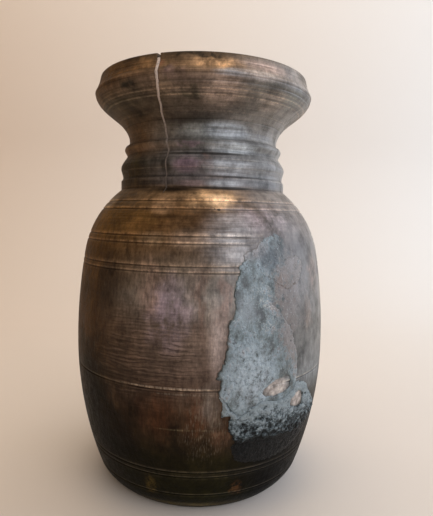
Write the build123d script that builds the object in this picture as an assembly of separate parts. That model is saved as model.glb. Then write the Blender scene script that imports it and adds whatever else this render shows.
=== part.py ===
"""Turned wooden storage pot with a ringed neck, a flared mouth and old pitch repairs.

The vessel is one block of wood, turned on a lathe and hollowed through the mouth. A drying split
runs down from the lip through the neck and is filled with pale filler. Black pitch was laid on
the belly as a repair and has hardened there as a smooth sheet, a lumpy crust, a thin skirt under
the crust and a thin smear above the sheet.

Frame: millimetres, +Z up, origin at the centre of the foot, on the surface that the pot stands on.
The split and the pitch are on the -Y side, which is the front. Azimuths are in degrees from +X,
anticlockwise seen from above, so the front is at -90.
"""
import os
from math import cos, radians, sin

from build123d import *

# --- Foot and belly ---------------------------------------------------------------------------
body_height = 190.3  # foot to the underside of the neck band
belly_radius = 83.0  # widest point
belly_height = 92.0  # height of the widest point
foot_radius = 58.5  # flat of the foot
foot_edge_width = 10.2  # the rounded edge of the foot, outwards and upwards
foot_edge_height = 11.5
foot_edge_bulge = 1.0  # how far the rounded edge stands out from its straight chord
shoulder_inset = 5.0  # where the belly turns in to the shoulder: inwards of belly_radius
shoulder_drop = 39.3  # and below the neck band

# --- Neck, from the shoulder upwards ----------------------------------------------------------
neck_radius = 49.4  # narrowest outside radius, above the rings
shoulder_end_proud = 5.2  # these radii stand proud of the neck
band_proud = 5.5
band_groove_proud = 4.4
lower_ring_proud = 5.6
ring_groove_proud = 1.5
upper_ring_proud = 3.2
collar_proud = 2.6
band_height = 5.5
band_groove_height = 1.4
lower_ring_height = 14.7
lower_ring_crest_share = 0.466  # where each ring is fullest, as a share of its height
lower_ring_slopes = (-0.2, -0.5)  # run outwards for each unit of rise, at its start and end
upper_ring_height = 6.1
upper_ring_crest_share = 0.73
upper_ring_slopes = (0.0, -0.8)
neck_height = 3.5  # rings to the narrowest point

# --- Mouth ------------------------------------------------------------------------------------
lip_radius = 71.4  # widest point of the mouth
flare_height = 29.4  # narrowest point of the neck to the widest point of the mouth
cove_reach_share = 0.318  # a point on the hollow curve under the mouth, as shares of the flare
cove_rise_share = 0.435
lip_underside_slope = 0.1  # how far the flare still runs out for its rise, at its edge
lip_band_height = 10.7  # widest point to the top of the lip
lip_taper = 3.6  # the lip band leans in by this much
lip_waist = 0.6  # and is turned slightly hollow
lip_land = 6.6  # flat top of the lip
lip_edge_round = 1.2

# --- Hollow -----------------------------------------------------------------------------------
belly_wall = 9.5
floor_thickness = 17.0
floor_corner_round = 12.0
neck_wall = 9.4  # at the narrowest point
throat_rise = 5.7  # underside of the neck band to the bottom of the straight throat
throat_length = 31.0

# --- Scribed lines ----------------------------------------------------------------------------
scribe_width = 1.2  # at the surface
scribe_depth = 0.6
# heights as shares of body_height
scribe_shares = (0.0735, 0.1409, 0.1570, 0.4206, 0.7527, 0.7698, 0.8332, 0.8544, 0.9328, 0.9570)

# --- Drying split -------------------------------------------------------------------------------
split_azimuth = -111.5
notch_depth = 2.6  # the filler is missing from the top of the split
# drop below the lip, sideways wander, width
split_route = (
    (0.0, 2.1, 2.0),
    (8.5, 2.3, 1.7),
    (15.5, 2.2, 1.4),
    (22.5, -0.7, 1.3),
    (28.5, -3.0, 1.2),
    (34.5, -2.9, 1.1),
    (39.5, -2.8, 1.1),
    (44.5, -0.8, 1.0),
    (53.5, 0.2, 0.9),
    (67.5, 0.3, 0.8),
    (75.5, 0.5, 0.6),
)

# --- Pitch repairs ------------------------------------------------------------------------------
sheet_thickness = 1.3
crust_thickness = 2.4
skirt_thickness = 1.0
smear_thickness = 0.8
pitch_azimuth = -58.0  # the outlines are cut straight in from this side
# outlines by azimuth and by height as a share of body_height
sheet_outline_shares = (
    (-81.5, 0.408), (-82.3, 0.455), (-79.2, 0.498), (-78.2, 0.558), (-75.6, 0.634),
    (-75.2, 0.699), (-72.8, 0.770), (-68.0, 0.795), (-63.5, 0.755), (-61.5, 0.694),
    (-56.0, 0.644), (-49.5, 0.584), (-46.0, 0.513), (-45.6, 0.433), (-50.5, 0.376),
    (-61.0, 0.372), (-67.0, 0.362), (-71.5, 0.344), (-76.5, 0.364),
)
sheet_chip_shares = (
    (-62.8, 0.403), (-59.2, 0.431), (-54.2, 0.440), (-50.2, 0.437), (-50.0, 0.398), (-56.0, 0.390),
)
crust_outline_shares = (
    (-80.6, 0.382), (-78.5, 0.327), (-76.0, 0.282), (-73.0, 0.254), (-64.0, 0.252),
    (-52.0, 0.248), (-38.0, 0.242), (-27.0, 0.264), (-26.0, 0.312), (-33.0, 0.354),
    (-38.0, 0.401), (-45.0, 0.415), (-58.0, 0.403), (-70.0, 0.392),
)
crust_chip_shares = (
    (-48.2, 0.354), (-45.6, 0.376), (-42.2, 0.380), (-40.2, 0.358), (-39.6, 0.328), (-44.0, 0.332),
)
skirt_outline_shares = (
    (-75.5, 0.277), (-74.0, 0.216), (-70.0, 0.179), (-58.0, 0.171), (-46.0, 0.181),
    (-35.0, 0.206), (-29.0, 0.247), (-38.0, 0.264), (-56.0, 0.277),
)
smear_outline_shares = (
    (-71.0, 0.780), (-68.5, 0.817), (-62.5, 0.847), (-55.8, 0.860), (-52.8, 0.820),
    (-44.5, 0.805), (-39.5, 0.770), (-43.0, 0.725), (-50.0, 0.704), (-57.0, 0.716),
    (-62.0, 0.740),
)

# --- What follows from the sizes above ----------------------------------------------------------
foot_edge_radius = foot_radius + foot_edge_width
band_top = body_height + band_height
band_groove_top = band_top + band_groove_height
lower_ring_top = band_groove_top + lower_ring_height
upper_ring_top = lower_ring_top + upper_ring_height
neck_level = upper_ring_top + neck_height
lip_level = neck_level + flare_height
height = lip_level + lip_band_height
lip_top_radius = lip_radius - lip_taper
mouth_radius = lip_top_radius - lip_land
throat_radius = neck_radius - neck_wall
throat_bottom = body_height + throat_rise
throat_top = throat_bottom + throat_length
outreach = belly_radius + lip_radius  # further from the axis than anything on the pot
halving_error = 1e-6


def belly_curves(stand_off=0.0):
    """The outside of the belly, radius against height, from the foot edge to the neck band."""
    foot_edge = (foot_edge_radius + stand_off, foot_edge_height)
    widest = (belly_radius + stand_off, belly_height)
    shoulder = (belly_radius - shoulder_inset + stand_off, body_height - shoulder_drop)
    neck_foot = (neck_radius + shoulder_end_proud + stand_off, body_height)
    flank = TangentArc(widest, foot_edge, tangent=(0, -1)).reversed()
    upper_flank = TangentArc(widest, shoulder, tangent=(0, 1))
    shoulder_arc = TangentArc(shoulder, neck_foot, tangent=upper_flank % 1)
    return [flank, upper_flank, shoulder_arc]


def belly_surface(level):
    """Radius of the belly's outside at a height, found by halving."""
    curve = next(
        (part for part in belly_curves() if (part @ 1).Y >= level), belly_curves()[-1]
    )
    low, high = 0.0, 1.0
    while high - low > halving_error:
        middle = (low + high) / 2
        if (curve @ middle).Y < level:
            low = middle
        else:
            high = middle
    return (curve @ low).X


def turned(*curves):
    """A closed outline, radius along X and height along Y, turned about Z into a solid."""
    edges = [edge for curve in curves for edge in curve.edges()]
    return revolve(make_face(Plane.XZ * Wire(edges)), axis=Axis.Z)


def ring(groove, crest, end, slopes):
    """One turned ring, as a curve from its groove over its crest to its upper end."""
    start_slope, end_slope = slopes
    return Spline(groove, crest, end, tangents=[(start_slope, 1), (end_slope, 1)])


def outside_curves():
    """The outside of the pot from the middle of the foot to the edge of the lip's flat top."""
    foot_rim = Vector(foot_radius, 0)
    chord = Vector(foot_edge_radius, foot_edge_height) - foot_rim
    bulge = Vector(chord.Y, -chord.X).normalized() * foot_edge_bulge
    foot = Line((0, 0), foot_rim)
    foot_edge = ThreePointArc(foot_rim, foot_rim + chord * 0.5 + bulge, foot_rim + chord)
    belly = belly_curves()

    band = Polyline(
        belly[-1] @ 1,
        (neck_radius + band_proud, body_height),
        (neck_radius + band_proud, band_top),
        (neck_radius + band_groove_proud, band_groove_top),
    )
    lower_ring = ring(
        band @ 1,
        (neck_radius + lower_ring_proud, band_groove_top + lower_ring_height * lower_ring_crest_share),
        (neck_radius + ring_groove_proud, lower_ring_top),
        lower_ring_slopes,
    )
    upper_ring = ring(
        lower_ring @ 1,
        (neck_radius + upper_ring_proud, lower_ring_top + upper_ring_height * upper_ring_crest_share),
        (neck_radius + collar_proud, upper_ring_top),
        upper_ring_slopes,
    )

    reach = lip_radius - neck_radius
    neck = TangentArc((neck_radius, neck_level), upper_ring @ 1, tangent=(0, -1)).reversed()
    flare = Spline(
        (neck_radius, neck_level),
        (neck_radius + reach * cove_reach_share, neck_level + flare_height * cove_rise_share),
        (lip_radius, lip_level),
        tangents=[(0, 1), (lip_underside_slope, 1)],
    )
    waist = (lip_radius - lip_taper / 2 - lip_waist, lip_level + lip_band_height / 2)
    lip_band = ThreePointArc(flare @ 1, waist, (lip_top_radius, height))
    return [foot, foot_edge, *belly, band, lower_ring, upper_ring, neck, flare, lip_band]


def hollow():
    """The space inside the pot, from the floor to the level of the lip."""
    widest = (belly_radius - belly_wall, belly_height)
    floor_edge = (belly_surface(floor_thickness) - belly_wall, floor_thickness)
    shoulder = (belly_radius - shoulder_inset - belly_wall, body_height - shoulder_drop)
    floor = Line((0, floor_thickness), floor_edge)
    flank = TangentArc(widest, floor_edge, tangent=(0, -1)).reversed()
    upper_flank = TangentArc(widest, shoulder, tangent=(0, 1))
    inner_shoulder = TangentArc(shoulder, (throat_radius, throat_bottom), tangent=upper_flank % 1)
    throat = Line((throat_radius, throat_bottom), (throat_radius, throat_top))
    mouth = Spline(
        (throat_radius, throat_top),
        (mouth_radius, height),
        tangents=[(0, 1), (mouth_radius - throat_radius, height - throat_top)],
    )
    lid_line = Line((mouth_radius, height), (0, height))
    axis_line = Line((0, height), (0, floor_thickness))
    space = turned(
        floor, flank, upper_flank, inner_shoulder, throat, mouth, lid_line, axis_line
    )
    floor_corner = space.edges().filter_by(GeomType.CIRCLE).group_by(Axis.Z)[0]
    return fillet(floor_corner, floor_corner_round)


def solid_pot():
    """The turned block before it is hollowed."""
    outside = outside_curves()
    top = Line(outside[-1] @ 1, (0, height))
    axis_line = Line((0, height), (0, 0))
    return turned(*outside, top, axis_line)


def scribed_lines():
    """V-shaped rings, one for each scribed line, that cut into the belly's surface."""
    rings = []
    for share in scribe_shares:
        level = share * body_height
        surface = belly_surface(level)
        tip = (surface - scribe_depth, level)
        below = (surface + scribe_depth, level - scribe_width)
        above = (surface + scribe_depth, level + scribe_width)
        rings.append(turned(Polyline(tip, below, above, close=True)))
    return rings


def looking_in(azimuth):
    """A plane through the axis that faces outwards at an azimuth, with heights along its Y."""
    across = Vector(-sin(radians(azimuth)), cos(radians(azimuth)), 0)
    outwards = Vector(cos(radians(azimuth)), sin(radians(azimuth)), 0)
    return Plane(origin=(0, 0, 0), x_dir=across, z_dir=outwards)


def split_blade():
    """The space of the split: a thin wandering blade that runs out from the axis."""
    left = [(wander - width / 2, height - drop) for drop, wander, width in split_route]
    right = [(wander + width / 2, height - drop) for drop, wander, width in split_route]
    side = looking_in(split_azimuth)
    outline = make_face(side * Polyline(*left, *reversed(right), close=True))
    return extrude(outline, amount=outreach, dir=side.z_dir)


def pitch_prism(outline):
    """A prism that runs out from the axis, around an outline drawn on the belly."""
    points = []
    for azimuth, share in outline:
        level = share * body_height
        across = belly_surface(level) * sin(radians(azimuth - pitch_azimuth))
        points.append((across, level))
    side = looking_in(pitch_azimuth)
    face = make_face(side * Spline(*points, periodic=True))
    return extrude(face, amount=outreach, dir=side.z_dir)


def pitch_layer(pot, thickness):
    """A layer all round the belly, of the thickness of one kind of pitch."""
    raised = belly_curves(thickness)
    low = Line((0, foot_edge_height), raised[0] @ 0)
    high = Line(raised[-1] @ 1, (0, body_height))
    axis_line = Line((0, body_height), (0, foot_edge_height))
    return turned(low, *raised, high, axis_line) - pot


def main():
    pot = solid_pot()
    hollowed = pot - hollow()
    lip_edges = hollowed.edges().filter_by(GeomType.CIRCLE).group_by(Axis.Z)[-1]
    hollowed = fillet(lip_edges, lip_edge_round)
    blade = split_blade()
    filled_height = height - notch_depth
    filled = Pos(0, 0, filled_height / 2) * Cylinder(outreach, filled_height)

    sheet_prism = pitch_prism(sheet_outline_shares)
    crust_prism = pitch_prism(crust_outline_shares)
    sheet = pitch_layer(pot, sheet_thickness) & sheet_prism
    crust = (pitch_layer(pot, crust_thickness) & crust_prism) - sheet_prism
    skirt = (pitch_layer(pot, skirt_thickness) & pitch_prism(skirt_outline_shares)) - crust_prism
    smear = (pitch_layer(pot, smear_thickness) & pitch_prism(smear_outline_shares)) - sheet_prism

    parts = {
        "turned_vessel": hollowed - scribed_lines() - blade,
        "split_filler": hollowed & blade & filled,
        "pitch_sheet": sheet - pitch_prism(sheet_chip_shares),
        "pitch_crust": crust - pitch_prism(crust_chip_shares),
        "pitch_skirt": skirt,
        "pitch_smear": smear,
    }
    os.makedirs("parts", exist_ok=True)
    for name, shape in parts.items():
        export_step(shape, f"parts/{name}.step")


main()
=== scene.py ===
from functools import reduce
from math import acos, atan2, cos, degrees, pi, radians, sin, sqrt, tan

import bmesh
import bpy
import numpy as np
from mathutils import Matrix, Vector, geometry, noise


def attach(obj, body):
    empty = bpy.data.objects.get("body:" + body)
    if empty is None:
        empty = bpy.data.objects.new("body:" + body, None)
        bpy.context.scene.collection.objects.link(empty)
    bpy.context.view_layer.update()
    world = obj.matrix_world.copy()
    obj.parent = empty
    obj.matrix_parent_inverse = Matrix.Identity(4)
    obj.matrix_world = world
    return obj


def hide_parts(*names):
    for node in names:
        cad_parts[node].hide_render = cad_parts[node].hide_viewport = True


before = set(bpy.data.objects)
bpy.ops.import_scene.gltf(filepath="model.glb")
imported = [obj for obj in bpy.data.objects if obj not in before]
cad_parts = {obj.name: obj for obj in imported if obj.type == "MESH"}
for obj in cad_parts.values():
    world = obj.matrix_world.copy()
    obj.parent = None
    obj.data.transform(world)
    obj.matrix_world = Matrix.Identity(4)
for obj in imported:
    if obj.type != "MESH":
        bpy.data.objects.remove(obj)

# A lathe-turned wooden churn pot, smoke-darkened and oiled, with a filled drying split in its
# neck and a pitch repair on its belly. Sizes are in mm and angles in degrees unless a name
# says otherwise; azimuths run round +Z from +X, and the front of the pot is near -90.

MM = 0.001
noise.seed_set(7)  # the edges of the pitch break the same way every time
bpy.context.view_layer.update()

# --- Turned outline: the same sizes as the solid that it dresses ---
body_height = 190.3
belly_radius, belly_height = 83.0, 92.0
foot_radius, foot_edge_radius = 58.5, 68.7
foot_edge_height, foot_edge_bulge = 11.5, 1.0
shoulder_inset, shoulder_drop = 5.0, 39.3
neck_radius = 49.4
shoulder_end_proud, band_proud, band_groove_proud = 5.2, 5.5, 4.4
lower_ring_proud, ring_groove_proud, upper_ring_proud, collar_proud = 5.6, 1.5, 3.2, 2.6
band_height, band_groove_height = 5.5, 1.4
lower_ring_height, lower_ring_crest_share, lower_ring_slopes = 14.7, 0.466, (-0.2, -0.5)
upper_ring_height, upper_ring_crest_share, upper_ring_slopes = 6.1, 0.73, (0.0, -0.8)
neck_height = 3.5
lip_radius, flare_height = 71.4, 29.4
cove_reach_share, cove_rise_share, lip_underside_slope = 0.318, 0.435, 0.1
lip_band_height, lip_taper, lip_waist = 10.7, 3.6, 0.6
lip_land, lip_edge_round = 6.6, 1.2
belly_wall, floor_thickness, floor_corner_round = 9.5, 17.0, 12.0
neck_wall, throat_rise, throat_length = 9.4, 5.7, 31.0
scribe_width, scribe_depth = 1.2, 0.6
scribe_shares = (0.0735, 0.1409, 0.1570, 0.4206, 0.7527, 0.7698, 0.8332, 0.8544, 0.9328, 0.9570)

band_top = body_height + band_height
band_groove_top = band_top + band_groove_height
lower_ring_top = band_groove_top + lower_ring_height
upper_ring_top = lower_ring_top + upper_ring_height
neck_level = upper_ring_top + neck_height
lip_level = neck_level + flare_height
height = lip_level + lip_band_height
lip_top_radius = lip_radius - lip_taper
mouth_radius = lip_top_radius - lip_land
throat_radius = neck_radius - neck_wall
throat_bottom = body_height + throat_rise
throat_top = throat_bottom + throat_length

# level, depth of the cut, how pale its edge is worn
# each line's dark bottom is painted shade, and the dark line at 217.5 is painted where the upper ring's
# shadow falls
tool_lines = (
    (249.6, 0.28, 0.1), (246.2, 0.30, 0.2), (243.9, 0.10, 0.5), (242.4, 0.12, 0.9), (241.0, 0.22, 0.2),
    (239.9, 0.10, 0.9), (229.5, 0.25, 0.1), (217.5, 0.30, 0.1), (233.0, 0.08, 0.4), (223.9, 0.08, 0.3),
    (201.5, 0.08, 0.5), (206.6, 0.08, 0.5), (256.6, 0.10, 0.1), (253.2, 0.08, 0.4),
)
# how far the painted shade in a cut line's bottom reaches, and the worn edges above and below a scribed
# line
groove_reach, upper_edge, lower_edge, edge_gap, pale_edge_gap = 0.5, 0.7, 0.4, 0.8, 0.2
# how far painted shade reaches in the turning's corners, and how far and how strongly ridges are worn
corner_shadow_reach, corner_gap, ridge_wear_reach, faint_wear = 1.1, 0.4, 0.8, 0.3

# --- Split and its filler ---
split_azimuth = -111.5
notch_depth = 2.6
# drop below the lip, sideways wander, width
split_route = np.array((
    (0.0, 2.1, 2.0), (5.5, 2.5, 1.9), (8.5, 2.3, 1.7), (12.5, 2.5, 1.5), (15.5, 2.2, 1.4),
    (19.5, 0.9, 1.5), (22.5, -0.7, 1.3), (25.5, -1.4, 1.4), (28.5, -3.0, 1.2), (31.5, -3.2, 1.0),
    (35.5, -2.8, 1.1), (39.5, -2.8, 1.1), (43.5, -1.0, 1.0), (48.0, -0.2, 0.9), (53.5, 0.2, 0.8),
    (59.5, 0.0, 0.9), (67.5, 0.3, 0.7), (72.5, 0.7, 0.6), (75.5, 0.5, 0.5),
))
split_depth_outside, split_depth_inside, split_fade = 1.3, 0.8, 3.0
split_end = height - split_route[-1, 0]
# the paste: its start above the split's end, the step between its rings and the points across
# them, where it sinks towards the notch, how far below the split the wall is read, its overlap
# with the wood at the sides and inside, how far it is sunk, and its crown and crumbs
paste_start, paste_step, paste_columns, notch_run, wall_below = 0.6, 0.55, 7, 2.5, 6
paste_overlap, paste_inside, paste_sunk, notch_sunk = 0.05, 0.35, 0.30, 0.25
paste_crown, paste_crumb, crumb_wide, crumb_tall = 0.18, 0.16, 0.9, 1.3

# --- Pitch repair: outlines by azimuth and height ---
sheet_left = (
    (-64, 144), (-68, 151.5), (-71.2, 150), (-72.9, 147.5), (-73.3, 143), (-75, 137), (-75.4, 131.3),
    (-75.1, 122.7), (-77.6, 117.4), (-77.9, 110), (-78.4, 101.6), (-79.1, 96.7), (-80.2, 92.8),
    (-82.5, 87.3), (-80, 85.8), (-81.2, 80.3),
)
sheet_foot = (
    (-81, 77), (-78.9, 74.1), (-77.7, 71.7), (-75.6, 68), (-71.4, 65.5), (-68.2, 69.1), (-63.1, 72.1),
    (-58, 71), (-51, 71.5), (-46.5, 76),
)
sheet_right = (
    (-45.6, 84), (-46.2, 97), (-48.2, 104), (-49.5, 111), (-53, 116), (-56, 122), (-60, 127), (-61.5, 133),
    (-62.4, 139),
)
crust_right = (
    (-45, 78.5), (-42, 77.5), (-38, 75.5), (-35.5, 71), (-33, 67.4), (-29, 63), (-26.2, 59), (-25.8, 54),
)
crust_foot = (
    (-28, 50.5), (-33, 47.8), (-40, 46.3), (-47, 46.8), (-53, 47.4), (-58, 48.2), (-64, 48), (-69, 48.6),
    (-73, 48.6),
)
crust_left = ((-75.1, 53.2), (-76.7, 59), (-76.6, 65.1), (-79.6, 65.9), (-79.3, 71.7))
skirt_foot = (
    (-75, 46.5), (-74, 41.2), (-71.5, 36.4), (-65.3, 34.6), (-57, 33.6), (-46.6, 35), (-36.5, 38.9),
    (-31, 44),
)
smear_edge = (
    (-71, 147), (-70.6, 154), (-67.1, 155.8), (-61.7, 161), (-55.6, 163.2), (-53.4, 155.5), (-51.7, 150.4),
    (-44, 152.2), (-39.8, 147.2), (-42.6, 138.6), (-49.5, 134), (-55.5, 136.6), (-59.8, 141),
    (-65.4, 141.8),
)
chip_in_sheet = (
    (-62.9, 78.6), (-59.2, 82.1), (-54.2, 83.7), (-50, 83.4), (-49.8, 76.4), (-54.5, 74.4), (-58.7, 73.8),
    (-61.9, 74.4), (-63.2, 76.2),
)
chip_in_crust = (
    (-48.2, 67), (-46, 70.6), (-42.4, 72.6), (-40.2, 69.2), (-39.4, 62.6), (-43.9, 62.9), (-47.4, 64.4),
)


def hex_colour(code):
    """Linear RGBA from an sRGB hex code."""
    shares = [int(code[place:place + 2], 16) / 255 for place in (1, 3, 5)]
    toe, slope, lift, power = 0.04045, 12.92, 0.055, 2.4
    linear = [s / slope if s <= toe else ((s + lift) / (1 + lift)) ** power for s in shares]
    return (*linear, 1.0)


# --- Outline of the turning ---
curve_steps, line_steps, corner_steps = 160, 60, 8


def arc(start, heading, end, steps=curve_steps):
    """Points of the arc that leaves start along a heading and runs to end."""
    start, heading, end = (np.array(p, float) for p in (start, heading, end))
    heading /= np.hypot(*heading)
    chord = end - start
    side = np.array((-heading[1], heading[0]))
    centre = start + side * (chord @ chord) / (2 * (chord @ side))
    turn = 2 * atan2(heading[0] * chord[1] - heading[1] * chord[0], heading @ chord)
    spoke = start - centre
    angles = np.linspace(0, turn, steps)
    return centre + np.stack((
        spoke[0] * np.cos(angles) - spoke[1] * np.sin(angles),
        spoke[0] * np.sin(angles) + spoke[1] * np.cos(angles),
    ), axis=1)


def arc_through(start, middle, end):
    """Points of the arc that runs from start through middle to end."""
    start, middle, end = (np.array(p, float) for p in (start, middle, end))
    sides = np.array((middle - start, end - start))
    centre = start + np.linalg.solve(sides, (sides ** 2).sum(axis=1) / 2)
    spoke = start - centre
    heading = np.array((-spoke[1], spoke[0]))
    if heading @ (middle - start) < 0:
        heading = -heading
    return arc(start, heading, end)


def line(start, end):
    """Points of a straight run."""
    return np.linspace(start, end, line_steps)


def sweep(points, first_heading, last_heading):
    """Points of a smooth curve through points, leaving and arriving along the headings."""
    points = np.array(points, float)
    spans = np.hypot(*np.diff(points, axis=0).T)
    headings = [np.array(h) / np.hypot(*h) for h in (first_heading, last_heading)]
    if len(points) == 3:
        before, after = spans
        pull = 3 * (after / before * (points[1] - points[0]) + before / after * (points[2] - points[1]))
        middle = (pull - after * headings[0] - before * headings[1]) / (2 * (before + after))
        headings.insert(1, middle)
    run = []
    for place, span in enumerate(spans):
        t = np.linspace(0, 1, curve_steps)[:, None]
        rise = t * t * (3 - 2 * t)
        run.append(
            points[place] * (1 - rise) + points[place + 1] * rise
            + span * headings[place] * t * (1 - t) ** 2 - span * headings[place + 1] * t * t * (1 - t)
        )
    return np.concatenate(run)


shoulder = (belly_radius - shoulder_inset, body_height - shoulder_drop)
lower_flank = arc((belly_radius, belly_height), (0, -1), (foot_edge_radius, foot_edge_height))[::-1]
upper_flank = arc((belly_radius, belly_height), (0, 1), shoulder)
shoulder_arc = arc(
    shoulder, upper_flank[-1] - upper_flank[-2], (neck_radius + shoulder_end_proud, body_height)
)
belly_line = np.concatenate((lower_flank, upper_flank, shoulder_arc))


def belly_surface(level):
    """Radius of the belly's outside at a height."""
    return np.interp(level, belly_line[:, 1], belly_line[:, 0])


def corner_round(before, corner, after, radius, steps=corner_steps):
    """Points that round a corner between two runs."""
    before, corner, after = (np.array(p, float) for p in (before, corner, after))
    inwards, outwards = corner - before, after - corner
    inwards /= np.hypot(*inwards)
    outwards /= np.hypot(*outwards)
    bend = acos(np.clip(inwards @ outwards, -1, 1))
    reach = radius * tan(bend / 2)
    return arc(corner - inwards * reach, inwards, corner + outwards * reach, steps)


lip_edge, lip_top, mouth_edge = (lip_radius, lip_level), (lip_top_radius, height), (mouth_radius, height)
# the point of a run that the lip's roundings start from, and how many points the floor's has
corner_start, floor_corner_steps = -12, 24


def proud(distance, level):
    """A point that stands so far proud of the neck."""
    return neck_radius + distance, level


def outside_line():
    """The outline from the middle of the foot to the outer edge of the lip's flat top."""
    foot_rim = np.array((foot_radius, 0.0))
    foot_edge = np.array((foot_edge_radius, foot_edge_height))
    chord = foot_edge - foot_rim
    bulge = np.array((chord[1], -chord[0])) / np.hypot(*chord) * foot_edge_bulge
    lower_crest = band_groove_top + lower_ring_height * lower_ring_crest_share
    upper_crest = lower_ring_top + upper_ring_height * upper_ring_crest_share
    band_foot, band_edge = proud(band_proud, body_height), proud(band_proud, band_top)
    band_groove = proud(band_groove_proud, band_groove_top)
    ring_groove = proud(ring_groove_proud, lower_ring_top)
    collar, neck_start = proud(collar_proud, upper_ring_top), proud(0.0, neck_level)
    lower_headings, upper_headings = (
        [(slope, 1) for slope in slopes] for slopes in (lower_ring_slopes, upper_ring_slopes)
    )
    cove = proud((lip_radius - neck_radius) * cove_reach_share, neck_level + flare_height * cove_rise_share)
    waist = (lip_radius - lip_taper / 2 - lip_waist, lip_level + lip_band_height / 2)
    lip_band = arc_through(lip_edge, waist, lip_top)
    lip_corner = corner_round(lip_band[corner_start], lip_top, mouth_edge, lip_edge_round)
    return np.concatenate((
        line((0, 0), foot_rim),
        arc_through(foot_rim, foot_rim + chord / 2 + bulge, foot_edge),
        belly_line,
        line(band_foot, band_edge),
        line(band_edge, band_groove),
        sweep((band_groove, proud(lower_ring_proud, lower_crest), ring_groove), *lower_headings),
        sweep((ring_groove, proud(upper_ring_proud, upper_crest), collar), *upper_headings),
        arc(neck_start, (0, -1), collar)[::-1],
        sweep((neck_start, cove, lip_edge), (0, 1), (lip_underside_slope, 1)),
        lip_band[lip_band[:, 1] < lip_corner[0, 1]],
        lip_corner,
    ))


def inside_line():
    """The outline from the inner edge of the lip's flat top down to the middle of the floor."""
    widest = (belly_radius - belly_wall, belly_height)
    floor_edge = (belly_surface(floor_thickness) - belly_wall, floor_thickness)
    shoulder_inside = (shoulder[0] - belly_wall, shoulder[1])
    neck_top, neck_foot = (throat_radius, throat_top), (throat_radius, throat_bottom)
    upper = arc(widest, (0, 1), shoulder_inside)
    inner_shoulder = arc(shoulder_inside, upper[-1] - upper[-2], neck_foot)
    lower = arc(widest, (0, -1), floor_edge)
    flare = sweep((neck_top, mouth_edge), (0, 1), (mouth_radius - throat_radius, height - throat_top))
    mouth_corner = corner_round(lip_top, mouth_edge, flare[corner_start], lip_edge_round)
    floor_middle = (0, floor_thickness)
    floor_corner = corner_round(lower[-2], floor_edge, floor_middle, floor_corner_round, floor_corner_steps)
    flare = flare[::-1]
    return np.concatenate((
        mouth_corner,
        flare[flare[:, 1] < mouth_corner[-1, 1]],
        line(neck_top, neck_foot),
        inner_shoulder[::-1],
        upper[::-1],
        lower[lower[:, 1] > floor_corner[0, 1]],
        floor_corner,
        line(floor_corner[-1], floor_middle),
    ))


def split_at(drop):
    """The split's sideways wander and its width, so far below the lip."""
    return [np.interp(drop, split_route[:, 0], split_route[:, part]) for part in (1, 2)]


# rows of points: the usual step, finer ones in zones and near cuts, coarser ones out of sight
coarse_step, scribe_step, corner_step, corner_reach = 1.9, 0.3, 0.35, 0.9
underside_step, inside_step, neck_inside_step, mouth_step = 6.5, 6.0, 2.6, 0.5
fine_zones = (
    (0.0, 12.5, 1.0), (66.0, 132.0, 0.62), (body_height, neck_level, 0.62),
    (neck_level, lip_level, 0.95), (lip_level, height, 0.6),
)
corners = (body_height, band_top, band_groove_top, lower_ring_top, upper_ring_top, lip_level)
samples, same_point = 20000, 1e-6
flat_level, flat_top, foot_rim_width, mouth_depth = 0.01, height - lip_edge_round / 9, 4, 2


def spaced_rows():
    """Rows of the turning: radius, height, and whether each row is on the inside."""
    outside, inside = outside_line(), inside_line()
    outline = np.concatenate((outside, inside))
    keep = np.append(True, np.hypot(*np.diff(outline, axis=0).T) > same_point)
    is_inside = np.append(np.zeros(len(outside)), np.ones(len(inside)))[keep]
    outline = outline[keep]
    along = np.append(0.0, np.cumsum(np.hypot(*np.diff(outline, axis=0).T)))
    places = np.linspace(0, along[-1], samples)
    radius, level = (np.interp(places, along, outline[:, axis]) for axis in (0, 1))
    within = np.interp(places, along, is_inside) > 0.5
    step = np.full(places.shape, coarse_step)
    for low, high, fine in fine_zones:
        step[(level >= low) & (level <= high)] = fine
    for cuts, reach, fine in (
        ([share * body_height for share in scribe_shares], scribe_width, scribe_step),
        (corners, corner_reach, corner_step),
        ([tool_line[0] for tool_line in tool_lines], scribe_width / 2, scribe_step),
    ):
        for cut in cuts:
            step[np.abs(level - cut) < reach] = fine
    step[(level < flat_level) | (level > flat_top)] = coarse_step
    step[(level < flat_level) & (radius < foot_radius - foot_rim_width)] = underside_step
    step[within] = inside_step
    step[within & (level > throat_bottom)] = neck_inside_step
    step[within & (level > height - mouth_depth)] = mouth_step
    count = np.append(0.0, np.cumsum(np.diff(places) / step[1:]))
    chosen = np.interp(np.linspace(0, count[-1], round(count[-1]) + 1), count, places)
    radius, level = (np.interp(chosen, places, values) for values in (radius, level))
    within = np.interp(chosen, places, within.astype(float)) > 0.5
    radius[[0, -1]] = 0.0
    return radius, level, within


def bell(distance, reach):
    """1 at no distance, falling smoothly to 0 at the reach."""
    share = np.clip(1 - np.abs(distance) / reach, 0, 1)
    return share * share * (3 - 2 * share)


def placed(name, data):
    """An object of this name in the scene, at the origin."""
    made = bpy.data.objects.new(name, data)
    bpy.context.scene.collection.objects.link(made)
    return made


def keep_values(mesh, values):
    """Stores numbers on the mesh's points under their names."""
    for name, numbers in values.items():
        attribute = mesh.attributes.new(name, "FLOAT", "POINT")
        attribute.data.foreach_set("value", numbers.astype(np.float32))


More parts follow.
